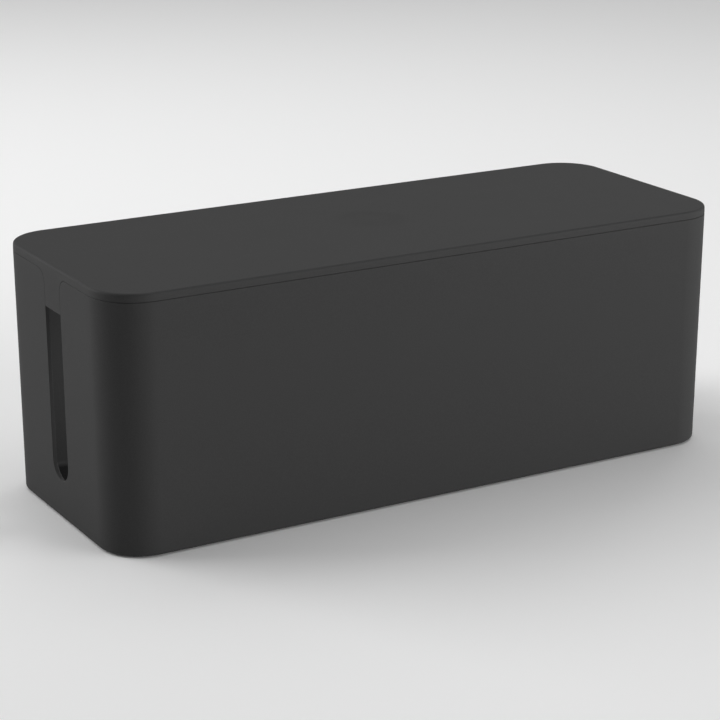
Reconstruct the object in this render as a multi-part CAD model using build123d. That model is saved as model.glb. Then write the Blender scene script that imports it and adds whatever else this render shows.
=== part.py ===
from build123d import *
import math
import os

# Cable management box: an open moulded tub with a notch in each end wall, and a lift-off lid whose
# two tongues drop into the tops of the notches. What stays open of each notch, below its tongue, is
# the slot that the cables pass through. Four rubber feet sit in pockets under the tub.
# Millimetres. Origin: the middle of the plane under the feet. +X along the box, +Z up.
# The front is at -Y and the left end at -X.

# ---- Overall sizes ----
length = 406.0            # along X, at the top of the lid
width = 156.0             # along Y, at the top of the lid
height = 150.0            # from the desk to the top of the lid
corner_radius = 27.0      # upright corners, in plan, at the top of the lid
draft = 0.4               # degrees that every side leans in towards the floor

# ---- Walls ----
wall = 2.2                # side and end walls of the tub
floor_thickness = 2.6     # floor of the tub
lid_thickness = 2.6       # top plate of the lid
lid_side = 4.9            # height of the lid's visible side, from the seam to the top

# ---- Rounded edges ----
top_round = 1.6           # along the lid's top edge
seam_round = 0.4          # on each side of the seam, and round the notches and the tongues
bottom_round = 1.5        # along the tub's bottom edge, outside
inner_round = 3.0         # where the walls meet the floor, inside

# ---- Notches, tongues and the slots between them ----
notch_width = 21.6        # between the straight sides of a notch
notch_bottom = 24.0       # lowest point of a notch, above the desk
flare_radius = 8.0        # round at each side of a notch's mouth, at the rim
tongue_drop = 21.0        # how far a tongue reaches below the seam
tongue_gap = 0.35         # clearance on each side of a tongue
tongue_corner = 0.8       # round on a tongue's two lower corners

# ---- Locating lip under the lid ----
lip_depth = 5.0           # how far the lip reaches into the tub
lip_thickness = 1.8
lip_gap = 0.4             # clearance between the lip and the tub's wall
lip_chamfer = 0.6         # lead-in at the foot of the lip

# ---- Feet ----
foot_diameter = 14.0
foot_proud = 0.8          # how far a foot stands below the tub
pocket_depth = 0.8        # depth of the pocket that a foot is stuck into
pocket_gap = 0.25         # clearance round a foot in its pocket
foot_round = 0.4          # on a foot's lower edge
foot_inset_x = 36.0       # foot centre, in from the end of the tub's bottom
foot_inset_y = 30.0       # foot centre, in from the side of the tub's bottom

# ---- What follows from the sizes above ----
lean = math.tan(math.radians(draft))
seam = height - lid_side
tub_bottom = foot_proud
lip_inset = wall + lip_gap
cavity_inset = lip_inset + lip_thickness
past = 1.0                # how far a cutting shape runs past the face that it opens
tolerance = 0.01          # for telling which edges lie on a face


def leaning_block(inset, low, high):
    """A rounded block between two heights, inset from the leaning outside of the box."""
    shrink = inset + (height - high) * lean
    plan = RectangleRounded(length - 2 * shrink, width - 2 * shrink, corner_radius - shrink)
    return extrude(Pos(0, 0, high) * plan, high - low, dir=(0, 0, -1), taper=draft)


def mouth_arc(half_width, side):
    """The quarter circle at one side of a mouth, from the rim down to the straight side."""
    turn = math.sqrt(0.5) * flare_radius
    centre = half_width + flare_radius
    return ThreePointArc(
        (side * centre, seam),
        (side * (centre - turn), seam - flare_radius + turn),
        (side * half_width, seam - flare_radius),
    )


def carried_through_ends(outline):
    """An outline in the YZ plane, carried along the whole box, so that it crosses both ends."""
    reach = length / 2 + past
    return extrude(Plane.YZ.offset(-reach) * outline, 2 * reach)


def notch_shape():
    """The notches of both ends: a half-round bottom, straight sides and a mouth that widens."""
    half = notch_width / 2
    mouth = half + flare_radius
    spring = notch_bottom + half
    outline = make_face([
        mouth_arc(half, 1),
        Line((half, seam - flare_radius), (half, spring)),
        ThreePointArc((half, spring), (0, notch_bottom), (-half, spring)),
        Line((-half, spring), (-half, seam - flare_radius)),
        mouth_arc(half, -1),
        Line((-mouth, seam), (-mouth, seam + past)),
        Line((-mouth, seam + past), (mouth, seam + past)),
        Line((mouth, seam + past), (mouth, seam)),
    ])
    return carried_through_ends(outline)


def tongue_shape():
    """The tongues of both ends: as the notches, less the gap, with a straight lower edge."""
    half = notch_width / 2 - tongue_gap
    mouth = half + flare_radius
    low = seam - tongue_drop
    outline = make_face([
        mouth_arc(half, 1),
        Line((half, seam - flare_radius), (half, low)),
        Line((half, low), (-half, low)),
        Line((-half, low), (-half, seam - flare_radius)),
        mouth_arc(half, -1),
        Line((-mouth, seam), (-mouth, seam + past)),
        Line((-mouth, seam + past), (mouth, seam + past)),
        Line((mouth, seam + past), (mouth, seam)),
    ])
    corners = outline.vertices().group_by(Axis.Y)[0]
    return carried_through_ends(fillet(corners, tongue_corner))


def inset_of(point):
    """How far inside the leaning outside of the box a point lies, square to the side, in plan."""
    shrink = (height - point.Z) * lean
    radius = corner_radius - shrink
    beyond_x = abs(point.X) - (length / 2 - shrink - radius)
    beyond_y = abs(point.Y) - (width / 2 - shrink - radius)
    outward = math.hypot(max(beyond_x, 0), max(beyond_y, 0))
    return radius - outward - min(max(beyond_x, beyond_y), 0)


def mouth_edges(shape, inset):
    """The edges at one inset that run along the seam and round the notches or the tongues."""
    reach = notch_width / 2 + flare_radius + tolerance
    found = []
    for edge in shape.edges():
        middle = edge @ 0.5
        at_end = abs(middle.Y) < reach and abs(middle.X) > length / 4
        along_seam = abs(middle.Z - seam) < tolerance
        at_inset = abs(inset_of(middle) - inset) < tolerance
        if at_inset and (along_seam or at_end and middle.Z < seam):
            found.append(edge)
    return found


def foot_places():
    """Name and centre of each foot, set in from the edges of the tub's bottom."""
    shrink = (height - tub_bottom) * lean
    reach_x = length / 2 - shrink - foot_inset_x
    reach_y = width / 2 - shrink - foot_inset_y
    return {
        "foot_front_left": (-reach_x, -reach_y),
        "foot_front_right": (reach_x, -reach_y),
        "foot_rear_left": (-reach_x, reach_y),
        "foot_rear_right": (reach_x, reach_y),
    }


def upright_cylinder(diameter, low, high):
    """A round bar on the Z axis between two heights."""
    bar = Cylinder(diameter / 2, high - low, align=(Align.CENTER, Align.CENTER, Align.MIN))
    return Pos(0, 0, low) * bar


def make_tub():
    """The tub: leaning walls and a floor, a notch in each end, pockets for the feet underneath."""
    outside = leaning_block(0, tub_bottom, seam)
    outside = fillet(outside.faces().sort_by(Axis.Z)[0].edges(), bottom_round)
    inside = leaning_block(wall, tub_bottom + floor_thickness, seam + past)
    inside = fillet(inside.faces().sort_by(Axis.Z)[0].edges(), inner_round)
    tub = outside - inside - notch_shape()
    tub = fillet(mouth_edges(tub, 0) + mouth_edges(tub, wall), seam_round)
    pocket = upright_cylinder(
        foot_diameter + 2 * pocket_gap,
        tub_bottom - past,
        tub_bottom + pocket_depth,
    )
    for x, y in foot_places().values():
        tub -= Pos(x, y, 0) * pocket
    return tub


def make_lid():
    """The lid: a plate with a deep edge, a tongue at each end and a locating lip underneath."""
    plate = leaning_block(0, seam, height)
    plate = fillet(plate.faces().sort_by(Axis.Z)[-1].edges(), top_round)
    lip = leaning_block(lip_inset, seam - lip_depth, seam + past)
    lip = chamfer(lip.faces().sort_by(Axis.Z)[0].edges(), lip_chamfer)
    low = seam - tongue_drop - past
    ends = leaning_block(0, low, seam + past) - leaning_block(lip_inset, low, seam + past)
    tongues = ends & tongue_shape()
    hollow = leaning_block(cavity_inset, seam - lip_depth - past, height - lid_thickness)
    lid = plate + lip + tongues - hollow
    return fillet(mouth_edges(lid, 0), seam_round)


def make_foot():
    """One rubber foot on the Z axis: a disc with a rounded lower edge."""
    foot = upright_cylinder(foot_diameter, 0, foot_proud + pocket_depth)
    return fillet(foot.faces().sort_by(Axis.Z)[0].edges(), foot_round)


parts = {"tub": make_tub(), "lid": make_lid()}
for name, (x, y) in foot_places().items():
    parts[name] = Pos(x, y, 0) * make_foot()

os.makedirs("parts", exist_ok=True)
for name, part in parts.items():
    export_step(part, f"parts/{name}.step")
    print(name, "volume", round(part.volume), "mm3")
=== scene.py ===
# %% [markdown]
# # A cable management box
#
# This lesson dresses one finished product in Blender: a long, closed box that hides a power strip on
# or under a desk. It is two plastic mouldings and four rubber feet. The lower moulding is an open
# tub with a deep notch in each end wall. The upper one is a lid that lifts straight off, with a
# tongue at each end that fills the top of the notch, so that what stays open is a slot for cables.
#
# A packed engineering model gives the exact sizes. Nothing in this file moves or resizes it. We load
# it, remember its box, and build a cleaner skin for each piece around the same sizes.

import math

import bmesh
import bpy
import numpy as np
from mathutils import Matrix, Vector


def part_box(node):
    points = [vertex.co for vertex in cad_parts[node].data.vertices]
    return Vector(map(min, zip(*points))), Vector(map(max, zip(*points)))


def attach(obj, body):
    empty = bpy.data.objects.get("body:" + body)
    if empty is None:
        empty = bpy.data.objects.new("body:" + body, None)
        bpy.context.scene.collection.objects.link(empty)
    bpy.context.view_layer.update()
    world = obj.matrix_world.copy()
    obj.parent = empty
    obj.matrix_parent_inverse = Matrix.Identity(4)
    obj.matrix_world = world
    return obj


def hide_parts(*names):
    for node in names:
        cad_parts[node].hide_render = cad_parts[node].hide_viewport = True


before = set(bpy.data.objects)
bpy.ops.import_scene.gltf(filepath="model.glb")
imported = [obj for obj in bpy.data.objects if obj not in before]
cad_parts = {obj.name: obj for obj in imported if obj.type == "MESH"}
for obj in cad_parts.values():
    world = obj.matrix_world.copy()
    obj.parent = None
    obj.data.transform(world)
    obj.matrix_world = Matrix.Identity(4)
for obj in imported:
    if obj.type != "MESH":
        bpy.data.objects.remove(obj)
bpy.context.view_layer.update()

# %% [markdown]
# ## Sizes
#
# Heights and half lengths are read from the model's pieces. The small sizes that a box around a
# piece can't tell, such as a wall or a corner's radius, are written here once, in millimetres, and
# turned to metres by one factor, because Blender's unit is the metre.

# %% Sizes in metres
MM = 0.001

tub_low, tub_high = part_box("tub")
lid_low, lid_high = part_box("lid")
tub_bottom = tub_low.z
seam = tub_high.z
top = lid_high.z
tongue_low = lid_low.z

corner_radius = 27.0 * MM       # upright corners, at the lid's top edge
lean = math.tan(math.radians(0.4))      # all sides lean in downwards, by this share of the height
lid_lean = math.tan(math.radians(2.0))  # the lid's turn back from that line and lean in upwards
wall = 2.2 * MM
tub_floor = 2.6 * MM
lid_plate = 2.6 * MM
top_round = 1.6 * MM
seam_round = 0.5 * MM           # the lid's foot and the tub's rim, along the level seam
mouth_round = 0.15 * MM         # the same edges where they stand upright, beside the tongue
bottom_round = 1.5 * MM         # outside, where the tub's walls meet its underside
inner_round = 3.0 * MM          # inside, where they meet its floor

notch_half = 10.8 * MM          # half the width between a notch's straight sides
notch_low = 24.0 * MM           # its lowest point, above the desk
flare = 8.0 * MM                # the round that widens a notch at the rim
tongue_gap = 0.10 * MM          # between a tongue and the notch, on each side
tongue_half = notch_half - tongue_gap
tongue_corner = 0.8 * MM

lip_inset = wall + 0.4 * MM     # the locating lip's outer face, in from the box's outside
lip_wall = 1.8 * MM
lip_depth = 5.0 * MM
lip_chamfer = 0.6 * MM          # on the lip's outer edge, to find its way into the tub
lip_round = 0.3 * MM            # on its inner edge
lip_fillet = 1.0 * MM           # where it joins the underside of the lid's plate

# The lean is measured from the height where the lid's top edge starts to round over.
widest = top - top_round
half_length = lid_high.x
half_width = lid_high.y
core_radius = corner_radius - top_round * lean
core_x = half_length - core_radius
core_y = half_width - core_radius
print("corner centres at", round(core_x / MM, 2), round(core_y / MM, 2), "mm")

# %% [markdown]
# ## One path round the box
#
# Both mouldings are the same idea: a cross-section carried round a rectangle with round corners. So
# every surface here is a grid. One direction of the grid goes round the box, and we call each step
# a column. The other goes up the wall, over the edge and down the inside, and each step is a row.
#
# A column is described by the point on a small core rectangle that it belongs to and by the
# direction that it faces. Moving out from the core point by the corner's radius gives the outside
# of the box. Moving out by less gives the inner face, and leaning sides only shorten that distance.
#
# The only difficulty is the ends, where the wall's edge leaves the level seam and dives round the
# notch. Rather than cutting a hole afterwards, which leaves ragged faces, the columns themselves
# follow the outline of the notch, so the edge is one unbroken row and can carry a real round.

# %% Steps along lines and arcs
CORNER_STEPS = 14
SIDE_STEPS = 22


def steps(start, stop, count):
    """Evenly spaced values from start to stop, leaving out the start, which the step before made."""
    return np.linspace(start, stop, count + 1)[1:]


def quarter_columns(y_edge, z_edge, out_y, out_z, y_far):
    """Columns for a quarter of the box: from the middle of the right end to the middle of the rear.

    The first columns carry an edge outline that is given in the end wall's plane: y and height of
    the edge, the direction out of the material there, and y_far, where the same column stands at
    the other edge of the wall. Then come the rest of the end, the round corner and the long side.
    """
    turn = np.radians(steps(0, 90, CORNER_STEPS))
    along = steps(core_x, 0, SIDE_STEPS)
    level = CORNER_STEPS + SIDE_STEPS
    return {
        "cx": np.concatenate([np.full(len(y_edge) + CORNER_STEPS, core_x), along]),
        "cy": np.concatenate([y_edge, np.full(level, core_y)]),
        "nx": np.concatenate([np.ones(len(y_edge)), np.cos(turn), np.zeros(SIDE_STEPS)]),
        "ny": np.concatenate([np.zeros(len(y_edge)), np.sin(turn), np.ones(SIDE_STEPS)]),
        "z": np.concatenate([z_edge, np.full(level, z_edge[-1])]),
        "out_y": np.concatenate([out_y, np.zeros(level)]),
        "out_z": np.concatenate([out_z, np.full(level, out_z[-1])]),
        "cy_far": np.concatenate([y_far, np.full(level, core_y)]),
    }


# What changes its sign in a quarter's mirror image, left to right and front to rear. Only the lid
# has lip_y, which comes with its tongue.
MIRRORS_X = {"cx", "nx"}
MIRRORS_Y = {"cy", "ny", "out_y", "cy_far", "lip_y"}


def whole_loop(quarter):
    """The closed loop of columns, from one quarter and its three mirror images.

    Each mirror image runs the other way, so it is reversed, and the column that two quarters share
    is kept once.
    """
    loop = {}
    for key, values in quarter.items():
        flip_x = -1 if key in MIRRORS_X else 1
        flip_y = -1 if key in MIRRORS_Y else 1
        rear = np.concatenate([values, flip_x * values[::-1][1:]])
        front = flip_y * rear[::-1]
        loop[key] = np.concatenate([rear, front[1:-1]])
    return loop


def place(loop, cy, inset, z):
    """Points of the box for rows of columns: core point + direction x (radius - lean - inset).

    cy, inset and z may be one number, one per row or a whole grid.
    """
    reach = core_radius - (widest - z) * lean - inset
    x = loop["cx"] + loop["nx"] * reach
    y = cy + loop["ny"] * reach
    return np.stack(np.broadcast_arrays(x, y, z), axis=-1)


# %% [markdown]
# ## From a grid to a mesh
#
# A grid of points becomes a mesh by joining each point to its neighbours in both directions. The
# columns close on themselves. The first and last rows shrink to a line in the middle of a flat
# face, where front and rear columns meet, so merging points that coincide closes the shell.
#
# Smooth shading mixes the directions of neighbouring faces. A large flat face next to a small round
# would then look swollen, so a Weighted Normal modifier gives the large face the say.

# %% Grid to mesh
SAME_POINT = 0.002 * MM         # points closer together than this are merged
SHARP_ANGLE = math.radians(40)  # faces that meet at more than this keep a hard edge between them


def grid_mesh(name, grid):
    """A closed mesh from a grid (rows, columns, 3) whose columns go all the way round."""
    row_count, column_count = grid.shape[:2]
    index = np.arange(row_count * column_count).reshape(row_count, column_count)
    right = np.roll(index, -1, axis=1)
    quads = np.stack([index[:-1], right[:-1], right[1:], index[1:]], axis=-1).reshape(-1, 4)
    mesh = bpy.data.meshes.new(name)
    mesh.from_pydata(grid.reshape(-1, 3), [], quads.tolist())
    shell = bmesh.new()
    shell.from_mesh(mesh)
    bmesh.ops.remove_doubles(shell, verts=shell.verts, dist=SAME_POINT)
    bmesh.ops.recalc_face_normals(shell, faces=shell.faces)
    shell.to_mesh(mesh)
    open_edges = sum(not edge.is_manifold for edge in shell.edges)
    shell.free()
    mesh.shade_smooth()
    print(name, "faces", len(mesh.polygons), "open edges", open_edges)
    return mesh


def shown(mesh, body):
    """Puts a mesh in the scene as a piece that moves with one body of the model."""
    piece = bpy.data.objects.new(mesh.name, mesh)
    bpy.context.scene.collection.objects.link(piece)
    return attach(piece, body)


def weigh_normals(piece):
    """Lets large faces keep their own direction where a small round meets them."""
    piece.data.set_sharp_from_angle(angle=SHARP_ANGLE)
    modifier = piece.modifiers.new("weighted normals", "WEIGHTED_NORMAL")
    modifier.keep_sharp = True
    modifier.weight = 100


# %% [markdown]
# ## Rounds and flat faces as rows
#
# A round along an edge is a few rows that turn through a quarter circle. A flat face is a few rows
# between its rim and a line down its middle. Both are worked out for all columns at once.

# %% Rows for rounds and flats
ROUND_STEPS = 5
FLAT_STEPS = 10
NEAR_RIM = 0.99                 # share of the way from a flat face's middle to its rim


def quarter_turn():
    """Sine and cosine over a quarter turn, as columns of numbers that broadcast over the grid."""
    angle = np.linspace(0, math.pi / 2, ROUND_STEPS + 1)[:, None]
    return np.sin(angle), np.cos(angle)


def flat(loop, inset, z, cy):
    """A level face from its middle line to its rim, as rows.

    The middle line is where the core rectangle would shrink to if its long sides met, and the
    rows are evenly blended from it to the rim, with one extra row just inside the rim.
    """
    rim = place(loop, cy, inset, z)
    line_half = core_x - core_y
    middle = np.stack([loop["cx"] * line_half / core_x, 0 * loop["cy"], np.full_like(loop["cx"], z)], -1)
    share = np.append(np.linspace(0, 1, FLAT_STEPS + 1)[:-1], [NEAR_RIM, 1.0])[:, None, None]
    return middle + (rim - middle) * share


def edge_radius(loop):
    """The edge's radius at each column: seam_round where it is level, mouth_round where upright."""
    return mouth_round + (seam_round - mouth_round) * loop["out_z"] ** 2


def edge_round(loop, thickness, keep_inner):
    """A rounded edge along the outline of the columns: over the outer corner, across the land.

    A point sits at a distance in from the outside and at a distance back from the outline. Both
    follow a quarter circle at the outer corner, and at the inner corner too where keep_inner is
    false.
    """
    sine, cosine = quarter_turn()
    inset = edge_radius(loop) * (1 - cosine)
    back = edge_radius(loop) * (1 - sine)
    if keep_inner:
        land = np.ones((1, inset.shape[1]))
        inset = np.concatenate([inset, thickness * land])
        back = np.concatenate([back, 0 * land])
    else:
        inset = np.concatenate([inset, thickness - inset[::-1]])
        back = np.concatenate([back, back[::-1]])
    y = loop["cy"] - back * loop["out_y"]
    z = loop["z"] - back * loop["out_z"]
    return place(loop, y, inset, z)


def wall_rows(loop, inset, z_far, back, count, far_key="cy_far", tilt=0.0):
    """A wall between a level line at z_far and the outline, less a distance back from it.

    Each column is a straight line between its two ends, in height and along the end wall. Above the
    seam the wall leans in by tilt x the height above it.
    """
    share = np.linspace(0, 1, count + 1)[:, None]
    y_edge = loop["cy"] - back * loop["out_y"]
    z_edge = loop["z"] - back * loop["out_z"]
    y = loop[far_key] + (y_edge - loop[far_key]) * share
    z = z_far + (z_edge - z_far) * share
    return place(loop, y, inset + tilt * np.maximum(z - seam, 0), z)


# %% [markdown]
# ## The tub
#
# The tub is the piece that everything stands in: 2.2 mm walls, a slightly thicker floor and a notch
# at each end, open at the rim, whose mouth widens in a quarter circle so that a cable slides in
# without catching. It could be made from a box with a Boolean cut, but the cut's edge could then
# take no even round, and on the real thing that round is what catches the light. So the notch is
# part of the path.

# %% The notch's outline
def tub_quarter():
    """Columns of the tub: half round bottom, straight side, flared mouth, level rim.

    The half round is centre + radius x (sine, -cosine). The flare turns about a point one radius
    outside the straight side. Out of the material is towards the opening. At the wall's foot the
    columns past the half round are spread out in three stretches, because those whose edges lie one
    above the other on the notch's upright side need room there too.
    """
    spring = notch_low + notch_half
    side_end = 0.55 * core_y
    mouth_end = 0.7 * core_y
    low = np.radians(np.linspace(0, 90, 13))
    climb = steps(spring, seam - flare, 12)
    wide = np.radians(steps(0, 90, 8))
    level = steps(notch_half + flare, core_y, 5)
    y = np.concatenate([
        notch_half * np.sin(low),
        np.full(len(climb), notch_half),
        notch_half + flare * (1 - np.cos(wide)),
        level,
    ])
    z = np.concatenate([
        spring - notch_half * np.cos(low),
        climb,
        seam - flare * (1 - np.sin(wide)),
        np.full(len(level), seam),
    ])
    out_y = np.concatenate([-np.sin(low), -np.ones(len(climb)), -np.cos(wide), np.zeros(len(level))])
    out_z = np.concatenate([np.cos(low), np.zeros(len(climb)), np.sin(wide), np.ones(len(level))])
    y_far = np.concatenate([
        notch_half * np.sin(low),
        steps(notch_half, side_end, len(climb)),
        steps(side_end, mouth_end, len(wide)),
        steps(mouth_end, core_y, len(level)),
    ])
    return quarter_columns(y, z, out_y, out_z, y_far)


# %% The tub's skin
TUB_WALL_STEPS = 16


def tub_grid():
    """The whole tub as one closed grid, from under the floor, up, over the rim and down inside."""
    loop = whole_loop(tub_quarter())
    sine, cosine = quarter_turn()
    foot_y = loop["cy_far"]
    under = flat(loop, bottom_round, tub_bottom, foot_y)
    outer_heel = place(
        loop, foot_y, bottom_round * (1 - sine), tub_bottom + bottom_round * (1 - cosine)
    )
    outside = wall_rows(loop, 0.0, tub_bottom + bottom_round, edge_radius(loop), TUB_WALL_STEPS)
    rim = edge_round(loop, wall, keep_inner=False)
    floor_top = tub_bottom + tub_floor
    inside = wall_rows(
        loop, wall, floor_top + inner_round, edge_radius(loop), TUB_WALL_STEPS
    )[::-1]
    inner_heel = place(
        loop, foot_y, wall + inner_round * (1 - cosine), floor_top + inner_round * (1 - sine)
    )
    floor = flat(loop, wall + inner_round, floor_top, foot_y)[::-1]
    return np.concatenate(
        [under, outer_heel[1:], outside[1:], rim[1:], inside[1:], inner_heel[1:], floor[1:]]
    )


tub = shown(grid_mesh("tub_shell", tub_grid()), "box")
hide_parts("tub")

# %% [markdown]
# ## The lid
#
# The lid is a flat plate with a side that hangs down to the seam. Under it a thin lip drops inside
# the tub and stops the lid sliding about, and at each end a tongue hangs in the notch. The tongue's
# outline is the notch's own, a tenth of a millimetre smaller, so the same kind of path carries it.

# %% The tongue's outline
def lid_quarter():
    """Columns of the lid: the tongue's flat foot, its round corner, its side, its flared root.

    lip_y says where each column crosses the foot of the locating lip. The root passes that height
    at one angle of its quarter circle, and a column stands exactly there. At the lid's top edge the
    columns are spread out by shares of the tongue's width, because those whose edges lie one above
    the other on its upright side need room there too.
    """
    lip_low = seam - lip_depth + lip_chamfer
    crossing = math.degrees(math.asin((lip_low - (seam - flare)) / flare))
    foot = np.linspace(0, tongue_half - tongue_corner, 7)
    bend = np.radians(steps(0, 90, 4))
    climb = steps(tongue_low + tongue_corner, seam - flare, 5)
    to_crossing = steps(0, crossing, 4)
    root = np.radians(np.concatenate([to_crossing, steps(crossing, 90, 5)]))
    level = steps(tongue_half + flare, core_y, 5)
    y = np.concatenate([
        foot,
        tongue_half - tongue_corner * (1 - np.sin(bend)),
        np.full(len(climb), tongue_half),
        tongue_half + flare * (1 - np.cos(root)),
        level,
    ])
    z = np.concatenate([
        np.full(len(foot), tongue_low),
        tongue_low + tongue_corner * (1 - np.cos(bend)),
        climb,
        seam - flare * (1 - np.sin(root)),
        np.full(len(level), seam),
    ])
    flat_y, flat_z = np.zeros(len(foot)), -np.ones(len(foot))
    out_y = np.concatenate([flat_y, np.sin(bend), np.ones(len(climb)), np.cos(root), 0 * level])
    out_z = np.concatenate([flat_z, -np.cos(bend), 0 * climb, -np.sin(root), 0 * level - 1])
    foot_end = 0.62 * tongue_half
    bend_end = 0.68 * tongue_half
    climb_end = 0.9 * tongue_half
    root_end = tongue_half + 0.5 * flare
    y_far = np.concatenate([
        np.linspace(0, foot_end, len(foot)),
        steps(foot_end, bend_end, len(bend)),
        steps(bend_end, climb_end, len(climb)),
        steps(climb_end, root_end, len(root)),
        steps(root_end, core_y, len(level)),
    ])
    quarter = quarter_columns(y, z, out_y, out_z, y_far)
    at_crossing = len(foot) + len(bend) + len(climb) + len(to_crossing) - 1
    lip_y = quarter["cy"].copy()
    lip_y[: at_crossing + 1] = y_far[: at_crossing + 1] * y[at_crossing] / y_far[at_crossing]
    quarter["lip_y"] = lip_y
    return quarter


# %% The lid's skin
LID_WALL_STEPS = 6
LIP_STEPS = 4


def lid_grid():
    """The whole lid as one closed grid, from the middle of its top, out, down, under and back."""
    loop = whole_loop(lid_quarter())
    sine, cosine = quarter_turn()
    top_y = loop["cy_far"]
    shoulder = lid_lean * (widest - seam)
    plate = flat(loop, shoulder + top_round, top, top_y)
    crown = place(loop, top_y, shoulder + top_round * (1 - sine), top - top_round * (1 - cosine))
    outside = wall_rows(loop, 0.0, widest, edge_radius(loop), LID_WALL_STEPS, tilt=lid_lean)
    foot = edge_round(loop, lip_inset, keep_inner=True)
    lip_low = seam - lip_depth
    lip_outer = wall_rows(loop, lip_inset, lip_low + lip_chamfer, 0.0, LIP_STEPS, "lip_y")[::-1]
    lip_y = loop["lip_y"]
    lip_foot = place(
        loop,
        lip_y,
        lip_inset + np.array([[lip_chamfer], [lip_wall - lip_round], [lip_wall]]),
        lip_low + np.array([[0.0], [0.0], [lip_round]]),
    )
    ceiling = top - lid_plate
    lip_inside = lip_inset + lip_wall
    cove = place(
        loop, lip_y, lip_inside + lip_fillet * (1 - cosine), ceiling - lip_fillet * (1 - sine)
    )
    under = flat(loop, lip_inside + lip_fillet, ceiling, lip_y)[::-1]
    return np.concatenate(
        [plate, crown[1:], outside[1:], foot[1:], lip_outer[1:], lip_foot, cove, under[1:]]
    )


lid = shown(grid_mesh("lid_shell", lid_grid()), "lid")
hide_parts("lid")

# %% [markdown]
# ## The feet
#
# Four rubber discs keep the box from sliding and let air under it. Each is glued into a shallow
# round pocket in the underside. A foot is a profile turned about an upright axis: a dished face that
# grips like a weak suction cup, a round rim, a straight side and a flat back in the pocket.
#
# The pockets have to be cut, because they belong to the tub's flat underside and not to its path.
# A Boolean difference is right here: the cut's edge is small, hidden by the foot and needs no round.

# %% A profile turned about an upright axis
FOOT_COLUMNS = 48
FOOT_NODES = sorted(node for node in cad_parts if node.startswith("foot_"))


def turned(centre, radii, heights):
    """Centre + radius x (cosine, sine) of each column's angle, at the height of each row."""
    angle = np.linspace(0, 2 * math.pi, FOOT_COLUMNS, endpoint=False)
    x = centre[0] + np.outer(radii, np.cos(angle))
    y = centre[1] + np.outer(radii, np.sin(angle))
    z = np.outer(heights, np.ones(FOOT_COLUMNS))
    return np.stack([x, y, z], axis=-1)


# %% The pockets in the tub
pocket_gap = 0.25 * MM          # all round a foot
overshoot = 2 * MM              # how far a cutter reaches past what it cuts


def pocket_grid(node):
    """A plain closed cylinder round a foot, from well under the tub up to the foot's back."""
    low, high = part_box(node)
    radius = (high.x - low.x) / 2 + pocket_gap
    below = low.z - overshoot
    return turned((low + high) / 2, [0.0, radius, radius, 0.0], [below, below, high.z, high.z])


def cut_away(piece, cutter_mesh):
    """The piece less a closed mesh, with the cut made final in the piece's own mesh."""
    cutter = bpy.data.objects.new("cutter", cutter_mesh)
    bpy.context.scene.collection.objects.link(cutter)
    modifier = piece.modifiers.new("pocket", "BOOLEAN")
    modifier.object = cutter
    modifier.solver = "EXACT"
    bpy.context.view_layer.update()
    cut = bpy.data.meshes.new_from_object(piece.evaluated_get(bpy.context.evaluated_depsgraph_get()))
    piece.modifiers.clear()
    piece.data = cut
    bpy.data.objects.remove(cutter)


for node in FOOT_NODES:
    cut_away(tub, grid_mesh("pocket_cutter", pocket_grid(node)))
tub.data.name = "tub_shell"
print("tub with four pockets:", len(tub.data.polygons), "faces")


# %% The rubber discs
foot_rim = 0.4 * MM             # the round at the foot of its side
foot_bevel = 0.2 * MM           # at its back
foot_dish = 0.25 * MM           # how deep its face is dished
foot_ring = 1.2 * MM            # width of the flat ring that it stands on


def foot_grid(node):
    """A foot in its node's own box.

    The dish's height falls from its middle to its ring as 1 - (share of the radius) to the fourth.
    """
    low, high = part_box(node)
    radius = (high.x - low.x) / 2
    inner = radius - foot_rim - foot_ring
    sine, cosine = (turn.ravel() for turn in quarter_turn())
    share = np.linspace(0, 1, 5)
    radii = np.concatenate([
        inner * share,
        radius - foot_rim + foot_rim * sine,
        [radius, radius - foot_bevel, 0.0],
    ])
    heights = np.concatenate([
        low.z + foot_dish * (1 - share ** 4),
        low.z + foot_rim * (1 - cosine),
        [high.z - foot_bevel, high.z, high.z],
    ])
    return turned((low + high) / 2, radii, heights)


feet = []
for node in FOOT_NODES:
    foot = shown(grid_mesh(node.replace("foot_", "rubber_foot_"), foot_grid(node)), "box")
    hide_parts(node)
    feet.append(foot)

# %% [markdown]
# ## Colour and nodes
#
# A colour picked on a screen is in sRGB, which packs the dark tones tightly. A shader multiplies
# light, so it needs the linear value, and one function converts. A second small function adds a
# node: its settings, then what goes into its sockets, either a number or another node's output.

# %% Helpers for materials
# A Mix node has a number, a vector and a colour socket of each name, so they go by their places.
MIX_SHARE = 0
COLOUR_A = 6
COLOUR_B = 7
COLOUR_OUT = 2


def linear(hex_colour):
    """sRGB hex to linear: c / 12.92 for the darkest tones, else ((c + 0.055) / 1.055) to the 2.4."""
    srgb = np.array([int(hex_colour[i:i + 2], 16) for i in (1, 3, 5)]) / 255
    value = np.where(srgb <= 0.04045, srgb / 12.92, ((srgb + 0.055) / 1.055) ** 2.4)
    return (*value, 1.0)


def add_node(tree, kind, inputs=None, **settings):
    """Adds a shader node. An input that is a socket is linked, and any other is set as a value."""
    node = tree.nodes.new("ShaderNode" + kind)
    for setting, value in settings.items():
        setattr(node, setting, value)
    for socket, value in (inputs or {}).items():
        if isinstance(value, bpy.types.NodeSocket):
            tree.links.new(value, node.inputs[socket])
        else:
            node.inputs[socket].default_value = value
    return node


def new_material(name):
    """An empty node material, with the object's own coordinates ready to use."""
    material = bpy.data.materials.new(name)
    material.use_nodes = True
    material.node_tree.nodes.clear()
    place_on_piece = add_node(material.node_tree, "TexCoord").outputs["Object"]
    return material, material.node_tree, place_on_piece


def per_metre(size_in_mm):
    """A texture's scale, in repeats per metre, for a pattern of this size in millimetres."""
    return 1000.0 / size_in_mm


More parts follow.
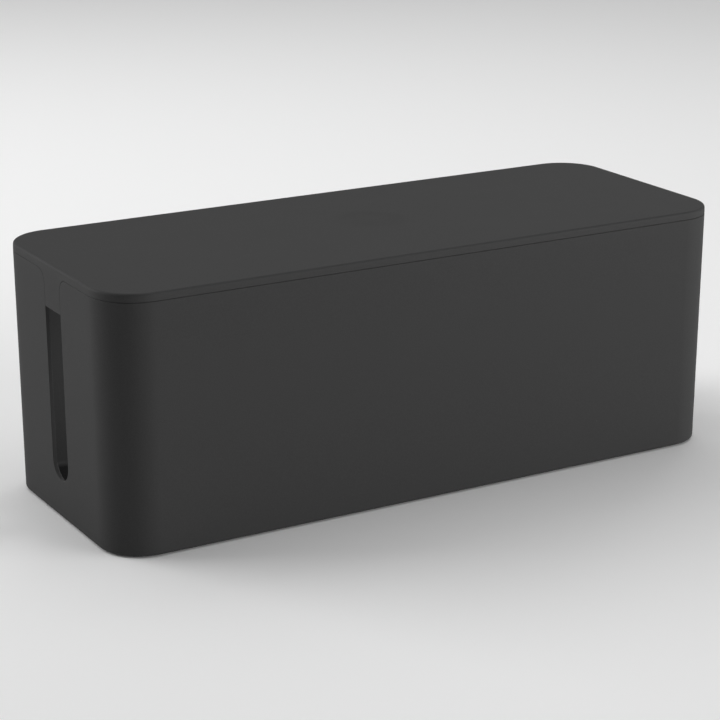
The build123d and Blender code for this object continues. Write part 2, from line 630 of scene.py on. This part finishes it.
print("screen grey #808080 is", round(float(linear("#808080")[0]), 3), "of full light")

# %% [markdown]
# ## Matt moulded ABS
#
# Both large pieces are ABS, injection moulded and coloured graphite through and through. The mould
# was spark eroded, which leaves a fine, even pitting, and the plastic copies it. To the eye that
# means no mirror image of anything, a wide soft sheen at a shallow angle, and a very slight speckle
# close up. So the roughness is high and the specular level half the usual one, because the walls of
# the pits shade each other.
#
# Three larger things keep it from looking like paint. The melt cools unevenly, which clouds the
# sheen by a hair over a few centimetres. Where the plastic entered, in the middle of each moulding,
# the surface sinks by a few tenths of a millimetre, and a faint darker disc there is painted shade
# of that dish. Edges and the lid's side are a little smoother and painted paler, a painted highlight.

# %% The graphite plastic
ABS_IOR = 1.53
ABS_ROUGHNESS = 0.7
CLOUDED_BY = 0.015      # how much the roughness wanders to either side
SMOOTHER_BY = 0.03       # how much smoother it is on edges and the lid's side, under the painted highlight
DEEP_TONE = "#2b2b2b"
PALE_TONE = "#2f2f2f"   # also painted on edges and the lid's side as a painted highlight
DUST_TONE = "#484848"
GRAIN_MM = 0.8          # real pits are about 0.15 mm, drawn coarser so that the speckle shows
PIT_DEPTH_MM = 0.05
CLOUD_MM = 38.0
GATE_DISC_MM = 24.0         # radius of the gate's disc, for the painted shade and the sunken dish
GATE_DISC_FADE_MM = 4.0     # how far past its radius it fades out
GATE_PAINTED_SHADE = 0.93      # the share of the colour that is left inside it, as painted shade
RAGGED_MM = 9.0         # length of the waves in its edge
RAGGED_DEPTH_MM = 6.0   # and how far they reach in
DISH_DEPTH_MM = 0.35    # how far the surface sinks at the gate
DUST_MM = 26.0          # spacing of the few specks of dust
SPECK_CORE = 0.012      # radius of a speck, as a share of that spacing
SPECK_EDGE = 0.022      # and where it has faded out


def moulded_abs(name):
    """Graphite ABS from a spark eroded mould, with its gate at x = y = 0."""
    material, tree, spot = new_material(name)
    cloud = add_node(tree, "TexNoise", {"Vector": spot, "Scale": per_metre(CLOUD_MM), "Detail": 3.0})
    grain = add_node(
        tree, "TexNoise",
        {"Vector": spot, "Scale": per_metre(GRAIN_MM), "Detail": 2.0, "Roughness": 0.6},
    )

    clouded = add_node(
        tree, "Mix",
        {MIX_SHARE: cloud.outputs["Fac"], COLOUR_A: linear(DEEP_TONE), COLOUR_B: linear(PALE_TONE)},
        data_type="RGBA",
    )
    speckle = add_node(
        tree, "MapRange",
        {"Value": grain.outputs["Fac"], "From Min": 0.3, "From Max": 0.7, "To Min": 0.9, "To Max": 1.1},
    )

    # The painted shade at the gate is a disc about the gate's axis with a soft, ragged edge. It
    # multiplies the colour by less than 1 inside and by 1 outside. The bowl is the height of the
    # surface: 0 in the middle, 1 outside and smooth between them, so that the sunken place has no rim.
    level = add_node(tree, "VectorMath", {0: spot, 1: (1.0, 1.0, 0.0)}, operation="MULTIPLY")
    from_gate = add_node(tree, "VectorMath", {0: level.outputs["Vector"]}, operation="LENGTH")
    wobble = add_node(tree, "TexNoise", {"Vector": spot, "Scale": per_metre(RAGGED_MM), "Detail": 2.0})
    ragged = add_node(
        tree, "Math",
        {0: wobble.outputs["Fac"], 1: RAGGED_DEPTH_MM * MM, 2: from_gate.outputs["Value"]},
        operation="MULTIPLY_ADD",
    )
    painted_gate_shade = add_node(
        tree, "MapRange",
        {
            "Value": ragged.outputs["Value"],
            "From Min": (GATE_DISC_MM - GATE_DISC_FADE_MM / 2) * MM,
            "From Max": (GATE_DISC_MM + GATE_DISC_FADE_MM) * MM,
            "To Min": GATE_PAINTED_SHADE, "To Max": 1.0,
        },
        interpolation_type="SMOOTHSTEP",
    )
    bowl = add_node(
        tree, "MapRange",
        {
            "Value": from_gate.outputs["Value"],
            "From Min": 0.4 * GATE_DISC_MM * MM, "From Max": (GATE_DISC_MM + GATE_DISC_FADE_MM) * MM,
        },
        interpolation_type="SMOOTHERSTEP",
    )

    shade = add_node(
        tree, "Math",
        {0: speckle.outputs["Result"], 1: painted_gate_shade.outputs["Result"]},
        operation="MULTIPLY",
    )
    body_colour = add_node(
        tree, "Mix",
        {MIX_SHARE: 1.0, COLOUR_A: clouded.outputs[COLOUR_OUT], COLOUR_B: shade.outputs["Value"]},
        data_type="RGBA", blend_type="MULTIPLY",
    )

    # Dust settles as single specks: the middles of scattered cells, each about a millimetre wide.
    cells = add_node(tree, "TexVoronoi", {"Vector": spot, "Scale": per_metre(DUST_MM)})
    speck = add_node(
        tree, "MapRange",
        {
            "Value": cells.outputs["Distance"],
            "From Min": SPECK_CORE, "From Max": SPECK_EDGE, "To Min": 0.35, "To Max": 0.0,
        },
    )
    dusty = add_node(
        tree, "Mix",
        {
            MIX_SHARE: speck.outputs["Result"],
            COLOUR_A: body_colour.outputs[COLOUR_OUT],
            COLOUR_B: linear(DUST_TONE),
        },
        data_type="RGBA",
    )

    # Edges and the lid's side carry a point attribute from 0 to 1 that paints them a shade paler, a
    # painted highlight, and makes them a little smoother.
    painted_light = add_node(tree, "Attribute", attribute_name="painted_light")
    painted_light_colour = add_node(
        tree, "Mix",
        {
            MIX_SHARE: painted_light.outputs["Fac"],
            COLOUR_A: dusty.outputs[COLOUR_OUT],
            COLOUR_B: linear(PALE_TONE),
        },
        data_type="RGBA",
    )
    sheen = add_node(
        tree, "MapRange",
        {
            "Value": cloud.outputs["Fac"],
            "From Min": 0.3, "From Max": 0.7,
            "To Min": ABS_ROUGHNESS - CLOUDED_BY, "To Max": ABS_ROUGHNESS + CLOUDED_BY,
        },
    )
    polished = add_node(
        tree, "Math",
        {0: painted_light.outputs["Fac"], 1: -SMOOTHER_BY, 2: sheen.outputs["Result"]},
        operation="MULTIPLY_ADD",
    )

    dish = add_node(
        tree, "Bump",
        {"Height": bowl.outputs["Result"], "Strength": 1.0, "Distance": DISH_DEPTH_MM * MM},
    )
    pits = add_node(
        tree, "Bump",
        {
            "Height": grain.outputs["Fac"], "Strength": 0.6, "Distance": PIT_DEPTH_MM * MM,
            "Normal": dish.outputs["Normal"],
        },
    )
    shader = add_node(
        tree, "BsdfPrincipled",
        {
            "Base Color": painted_light_colour.outputs[COLOUR_OUT],
            "Roughness": polished.outputs["Value"],
            "Normal": pits.outputs["Normal"],
            "IOR": ABS_IOR,
            "Specular IOR Level": 0.25,
        },
    )
    add_node(tree, "OutputMaterial", {"Surface": shader.outputs["BSDF"]})
    return material


graphite = moulded_abs("moulded_abs_graphite")
for moulding in (tub, lid):
    moulding.data.materials.clear()
    moulding.data.materials.append(graphite)
print(graphite.name, len(graphite.node_tree.nodes), "nodes")

# %% [markdown]
# ## A painted highlight on the edges and the lid's side
#
# The plastic is painted a shade paler, as a painted highlight, and made a little smoother on every
# outer edge and on the whole narrow side of the lid. An edge is a tight round, which is where
# neighbouring faces turn quickly. So each point's value comes from how much its faces' directions
# disagree: the length of their average is 1 on a flat face and less on a round. The lid's side is
# simply everything upright above the seam.

# %% The painted highlight's value
TIGHT_ROUND = 0.02              # the mean normal is this much short of 1 where the painted highlight is full
SIDE_PAINTED_LIGHT = 0.4              # the value on the lid's narrow side


def mark_painted_light(piece):
    """Painted highlight value = 1 - the length of the mean face normal, stretched to 0 to 1.

    On the lid's side it is the fixed side value. Inside the walls it is 0.
    """
    mesh = piece.data
    normals = np.empty(len(mesh.polygons) * 3)
    mesh.polygons.foreach_get("normal", normals)
    normals = normals.reshape(-1, 3)
    corners = np.empty(len(mesh.loops), dtype=int)
    mesh.loops.foreach_get("vertex_index", corners)
    face_sizes = np.empty(len(mesh.polygons), dtype=int)
    mesh.polygons.foreach_get("loop_total", face_sizes)
    face_of_corner = np.repeat(np.arange(len(mesh.polygons)), face_sizes)
    total = np.zeros((len(mesh.vertices), 3))
    np.add.at(total, corners, normals[face_of_corner])
    count = np.bincount(corners, minlength=len(mesh.vertices))
    mean = total / np.maximum(count, 1)[:, None]
    value = np.clip((1 - np.linalg.norm(mean, axis=1)) / TIGHT_ROUND, 0, 1)
    points = np.empty(len(mesh.vertices) * 3)
    mesh.vertices.foreach_get("co", points)
    x, y, z = np.abs(points).reshape(-1, 3).T
    upright = np.abs(mean[:, 2]) < 0.5  # the normal tips less than 30 degrees from level
    value[upright & (z > seam + 0.1 * MM)] = SIDE_PAINTED_LIGHT
    hidden = 1.5 * wall
    value[(x < half_length - hidden) & (y < half_width - hidden) & (z > tub_bottom + hidden)] = 0.0
    attribute = mesh.attributes.new("painted_light", "FLOAT", "POINT")
    attribute.data.foreach_set("value", value.astype(np.float32))
    print(piece.name, "handled points:", int((value > 0.5).sum()), "of", len(value))


mark_painted_light(tub)
mark_painted_light(lid)

# %% [markdown]
# ## Rubber feet
#
# The feet are die cut from black SBR rubber sheet. Rubber is rougher than the plastic, so its sheen
# is spread too wide to see, and it carries a pale bloom of the powder that keeps the sheets from
# sticking together.

# %% The rubber
RUBBER_IOR = 1.52
RUBBER_TONE = "#161616"
BLOOM_TONE = "#2a2a2a"
BLOOM_MM = 2.2
SHEET_GRAIN_MM = 0.5    # the sheet's fabric imprint, about 0.3 mm in reality
IMPRINT_DEPTH_MM = 0.06


def sbr_rubber(name):
    """Black SBR rubber with a patchy pale bloom and a fine imprint."""
    material, tree, spot = new_material(name)
    bloom = add_node(tree, "TexNoise", {"Vector": spot, "Scale": per_metre(BLOOM_MM), "Detail": 4.0})
    patchy = add_node(
        tree, "MapRange",
        {"Value": bloom.outputs["Fac"], "From Min": 0.45, "From Max": 0.75, "To Max": 0.6},
    )
    colour = add_node(
        tree, "Mix",
        {
            MIX_SHARE: patchy.outputs["Result"],
            COLOUR_A: linear(RUBBER_TONE),
            COLOUR_B: linear(BLOOM_TONE),
        },
        data_type="RGBA",
    )
    imprint = add_node(tree, "TexNoise", {"Vector": spot, "Scale": per_metre(SHEET_GRAIN_MM)})
    relief = add_node(
        tree, "Bump",
        {"Height": imprint.outputs["Fac"], "Strength": 0.7, "Distance": IMPRINT_DEPTH_MM * MM},
    )
    shader = add_node(
        tree, "BsdfPrincipled",
        {
            "Base Color": colour.outputs[COLOUR_OUT],
            "Normal": relief.outputs["Normal"],
            "Roughness": 0.88,
            "IOR": RUBBER_IOR,
            "Specular IOR Level": 0.3,
        },
    )
    add_node(tree, "OutputMaterial", {"Surface": shader.outputs["BSDF"]})
    return material


rubber = sbr_rubber("sbr_rubber_black")
for foot in feet:
    foot.data.materials.clear()
    foot.data.materials.append(rubber)
print(rubber.name, "on", len(feet), "feet")

# %% [markdown]
# ## The camera
#
# The box is seen from its front left, a little from above, through a long lens, as products usually
# are: a long lens from far away keeps the far end from shrinking. The camera looks straight along
# its own axis, with no shift.

# %% Camera
camera_azimuth = math.radians(-30.12)
camera_elevation = math.radians(17.6)
towards_camera = Vector((
    math.sin(camera_azimuth) * math.cos(camera_elevation),
    -math.cos(camera_azimuth) * math.cos(camera_elevation),
    math.sin(camera_elevation),
))
camera_data = bpy.data.cameras.new("camera")
camera_data.sensor_width = 36.0     # millimetres, as the lens
camera_data.lens = 110.4
camera = bpy.data.objects.new("camera", camera_data)
camera.location = (-0.6433, -1.0972, 0.4668)
camera.rotation_mode = "QUATERNION"
camera.rotation_quaternion = (-towards_camera).to_track_quat("-Z", "Y")
bpy.context.scene.collection.objects.link(camera)
bpy.context.scene.camera = camera
print("camera", round(camera.location.length, 3), "m from the middle of the box's foot")

# %% [markdown]
# ## Studio light
#
# Dark matt plastic shows light as wide, soft shades, so the lamps are large softboxes. One stands
# low on the front right, so the long side fades from right to left. One stands behind on the left
# and lights the end with the slot, and a smaller one behind on the right skims the lid and lights
# the paper there. Nothing stands at the front left, so the round corner that points there stays
# dark, and that dark band is what makes the corner read as round. The rest of the lid's light comes
# from overhead and behind. So its front edge, which faces half up and half forward, is turned away
# from every strong lamp and draws a fine dark line between the top and the side.
#
# A closed box would show a black hole in its slot. In a studio a small lamp would be slipped inside
# to lift it, and so it is here: two weak flat panels, one shining on the rear wall from a little in
# front of the middle, the other the opposite way. They also light the wall's edge beside the slot.

# %% Softboxes
def softbox(name, place_at, aim, size, power, seen=True):
    """A rectangular area lamp of a size in metres that faces a point."""
    lamp = bpy.data.lights.new(name, "AREA")
    lamp.shape = "RECTANGLE"
    lamp.size, lamp.size_y = size
    lamp.energy = power
    holder = bpy.data.objects.new(name, lamp)
    holder.location = place_at
    holder.rotation_mode = "QUATERNION"
    holder.rotation_quaternion = (Vector(aim) - Vector(place_at)).to_track_quat("-Z", "Y")
    holder.visible_camera = seen
    bpy.context.scene.collection.objects.link(holder)
    print(name, power, "W")


box_middle = (0.0, 0.0, 0.07)
box_foot = (0.0, 0.0, 0.0)
paper_behind = (0.8, 2.9, 0.0)
softbox("softbox_front_right", (2.3, -2.5, 0.6), box_middle, (2.4, 0.9), 90.0)
softbox("softbox_rear_left", (-2.4, 2.2, 1.43), box_middle, (2.4, 2.2), 70.0)
softbox("softbox_overhead", (0.1, 0.1, 1.6), box_foot, (2.4, 1.8), 10.0)
softbox("softbox_overhead_rear", (0.1, 1.1, 1.5), box_foot, (2.4, 1.4), 7.6)
softbox("softbox_backdrop", (3.4, 2.6, 2.0), paper_behind, (1.6, 1.6), 16.0)

panel_half_length = half_length - 30 * MM   # clear of the end walls
panel_height = 84 * MM
panel_middle = tub_bottom + 52 * MM
panel_offset = 30 * MM                      # from the middle, away from the wall it shines on
panel_power = 0.27
for name, facing in (("slot_lamp_rear", 1.0), ("slot_lamp_front", -1.0)):
    softbox(
        name,
        (0.0, -facing * panel_offset, panel_middle),
        (0.0, facing, panel_middle),
        (2 * panel_half_length, panel_height),
        panel_power,
        seen=False,
    )

# %% Sky
SKY_STRENGTH = 0.17             # pale walls all round, which fill the shadows a little
sky = bpy.data.worlds.new("studio_walls")
sky.use_nodes = True
sky_light = sky.node_tree.nodes["Background"]
sky_light.inputs["Color"].default_value = (1.0, 1.0, 1.0, 1.0)
sky_light.inputs["Strength"].default_value = SKY_STRENGTH
bpy.context.scene.world = sky
bpy.context.scene.view_settings.view_transform = "Standard"

# %% [markdown]
# ## The floor
#
# The floor is a sheet of matt white studio paper, big enough to fill every view. It isn't part of
# the object. Plain paper has a very slight tooth, which a fine bump gives.

# %% Paper floor
FLOOR_HALF = 8.0    # metres
TOOTH_MM = 1.5
TOOTH_DEPTH_MM = 0.05
floor_mesh = bpy.data.meshes.new("paper_floor")
floor_corners = np.array([[-1, -1, 0], [1, -1, 0], [1, 1, 0], [-1, 1, 0]]) * FLOOR_HALF
floor_mesh.from_pydata(floor_corners, [], [(0, 1, 2, 3)])
floor = bpy.data.objects.new("paper_floor", floor_mesh)
bpy.context.scene.collection.objects.link(floor)

paper, paper_tree, paper_spot = new_material("matt_white_paper")
tooth = add_node(paper_tree, "TexNoise", {"Vector": paper_spot, "Scale": per_metre(TOOTH_MM)})
tooth_relief = add_node(
    paper_tree, "Bump",
    {"Height": tooth.outputs["Fac"], "Strength": 0.2, "Distance": TOOTH_DEPTH_MM * MM},
)
paper_shader = add_node(
    paper_tree, "BsdfPrincipled",
    {
        "Base Color": linear("#f6f6f6"),
        "Roughness": 0.95,
        "Specular IOR Level": 0.0,
        "Normal": tooth_relief.outputs["Normal"],
    },
)
add_node(paper_tree, "OutputMaterial", {"Surface": paper_shader.outputs["BSDF"]})
floor_mesh.materials.append(paper)
print("floor", 2 * FLOOR_HALF, "m square")

# %% [markdown]
# ## Last things
#
# The weighted normals go on last, when every mesh is final.

# %% Normals
for piece in (tub, lid, *feet):
    weigh_normals(piece)
